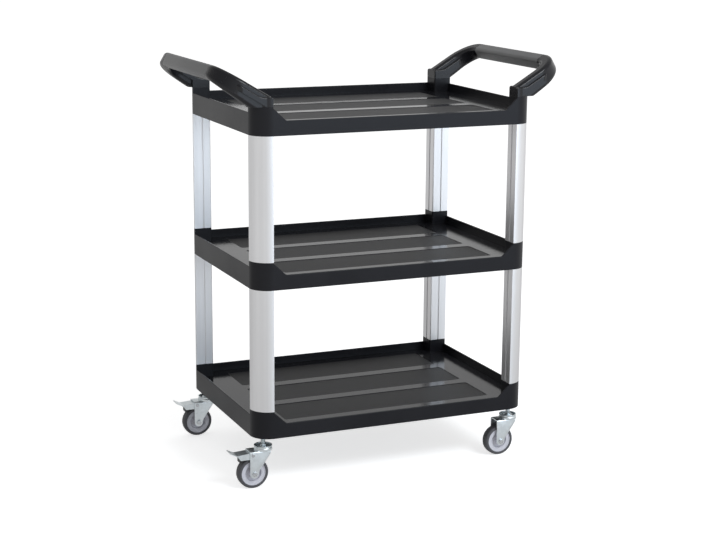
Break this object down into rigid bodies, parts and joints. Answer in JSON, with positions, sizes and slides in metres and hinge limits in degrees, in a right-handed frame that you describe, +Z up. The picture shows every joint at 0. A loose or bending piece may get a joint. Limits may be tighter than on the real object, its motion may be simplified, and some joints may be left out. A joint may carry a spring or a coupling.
{
  "type": "serving trolley",
  "caption": "Wheeled serving trolley: stacked black trays on round-cornered aluminium posts, raised end handles with soft grips, swivel casters, brakes at one end.",
  "frame": {"origin": "on the floor under the middle of the trays", "axes": "+Z up; X along the trays from handle to handle, with the brakes at -X; -Y is the low front edge"},
  "size_m": [0.8124, 0.455, 0.909],
  "materials": {
    "tray_plastic": "moulded polypropylene, satin walls and finely textured floor panels",
    "handle_plastic": "moulded polypropylene, half gloss",
    "grip_rubber": "soft-touch sleeve with a fine grain",
    "post_aluminium": "drawn profile, satin anodised",
    "zinc_plate": "pressed sheet, bright zinc plated",
    "fastener_steel": "turned steel, zinc plated",
    "hub_plastic": "moulded grey nylon",
    "tread_rubber": "non-marking grey rubber",
    "brake_plastic": "black moulded shoe"
  },
  "bodies": {
    "base": {"bottom_tray": "tray_plastic", "middle_tray": "tray_plastic", "top_tray": "tray_plastic", "right_handle": "handle_plastic", "right_grip": "grip_rubber", "left_handle": "handle_plastic", "left_grip": "grip_rubber", "handle_screws": "fastener_steel", "caster_inserts": "fastener_steel", "front_left_lower_post": "post_aluminium", "front_left_upper_post": "post_aluminium", "front_left_caster_stem": "fastener_steel", "front_right_lower_post": "post_aluminium", "front_right_upper_post": "post_aluminium", "front_right_caster_stem": "fastener_steel", "rear_left_lower_post": "post_aluminium", "rear_left_upper_post": "post_aluminium", "rear_left_caster_stem": "fastener_steel", "rear_right_lower_post": "post_aluminium", "rear_right_upper_post": "post_aluminium", "rear_right_caster_stem": "fastener_steel"},
    "front_left_fork": {"front_left_swivel_bearing": "fastener_steel", "front_left_caster_fork": "zinc_plate", "front_left_axle_bolt": "fastener_steel", "front_left_axle_nut": "fastener_steel", "front_left_axle_bush": "fastener_steel", "front_left_brake_pin": "fastener_steel"},
    "front_left_wheel": {"front_left_wheel_hub": "hub_plastic", "front_left_tyre": "tread_rubber"},
    "front_left_brake": {"front_left_brake_pedal": "zinc_plate", "front_left_brake_shoe": "brake_plastic"},
    "front_right_fork": {"front_right_swivel_bearing": "fastener_steel", "front_right_caster_fork": "zinc_plate", "front_right_axle_bolt": "fastener_steel", "front_right_axle_nut": "fastener_steel", "front_right_axle_bush": "fastener_steel"},
    "front_right_wheel": {"front_right_wheel_hub": "hub_plastic", "front_right_tyre": "tread_rubber"},
    "rear_left_fork": {"rear_left_swivel_bearing": "fastener_steel", "rear_left_caster_fork": "zinc_plate", "rear_left_axle_bolt": "fastener_steel", "rear_left_axle_nut": "fastener_steel", "rear_left_axle_bush": "fastener_steel", "rear_left_brake_pin": "fastener_steel"},
    "rear_left_wheel": {"rear_left_wheel_hub": "hub_plastic", "rear_left_tyre": "tread_rubber"},
    "rear_left_brake": {"rear_left_brake_pedal": "zinc_plate", "rear_left_brake_shoe": "brake_plastic"},
    "rear_right_fork": {"rear_right_swivel_bearing": "fastener_steel", "rear_right_caster_fork": "zinc_plate", "rear_right_axle_bolt": "fastener_steel", "rear_right_axle_nut": "fastener_steel", "rear_right_axle_bush": "fastener_steel"},
    "rear_right_wheel": {"rear_right_wheel_hub": "hub_plastic", "rear_right_tyre": "tread_rubber"}
  },
  "joints": [
    {"name": "front_left_swivel", "type": "hinge", "parent": "base", "child": "front_left_fork", "pos_m": [-0.299, -0.1955, 0.085], "axis": [0, 0, 1], "continuous": true},
    {"name": "front_left_roll", "type": "hinge", "parent": "front_left_fork", "child": "front_left_wheel", "pos_m": [-0.324, -0.1955, 0.0345], "axis": [0, 1, 0], "continuous": true},
    {"name": "front_left_brake_press", "type": "hinge", "parent": "front_left_fork", "child": "front_left_brake", "pos_m": [-0.327, -0.1955, 0.0765], "axis": [0, -1, 0], "range_deg": [0, 8]},
    {"name": "front_right_swivel", "type": "hinge", "parent": "base", "child": "front_right_fork", "pos_m": [0.299, -0.1955, 0.085], "axis": [0, 0, 1], "continuous": true},
    {"name": "front_right_roll", "type": "hinge", "parent": "front_right_fork", "child": "front_right_wheel", "pos_m": [0.274, -0.1955, 0.0345], "axis": [0, 1, 0], "continuous": true},
    {"name": "rear_left_swivel", "type": "hinge", "parent": "base", "child": "rear_left_fork", "pos_m": [-0.299, 0.1955, 0.085], "axis": [0, 0, 1], "continuous": true},
    {"name": "rear_left_roll", "type": "hinge", "parent": "rear_left_fork", "child": "rear_left_wheel", "pos_m": [-0.324, 0.1955, 0.0345], "axis": [0, 1, 0], "continuous": true},
    {"name": "rear_left_brake_press", "type": "hinge", "parent": "rear_left_fork", "child": "rear_left_brake", "pos_m": [-0.327, 0.1955, 0.0765], "axis": [0, -1, 0], "range_deg": [0, 8]},
    {"name": "rear_right_swivel", "type": "hinge", "parent": "base", "child": "rear_right_fork", "pos_m": [0.299, 0.1955, 0.085], "axis": [0, 0, 1], "continuous": true},
    {"name": "rear_right_roll", "type": "hinge", "parent": "rear_right_fork", "child": "rear_right_wheel", "pos_m": [0.274, 0.1955, 0.0345], "axis": [0, 1, 0], "continuous": true}
  ]
}
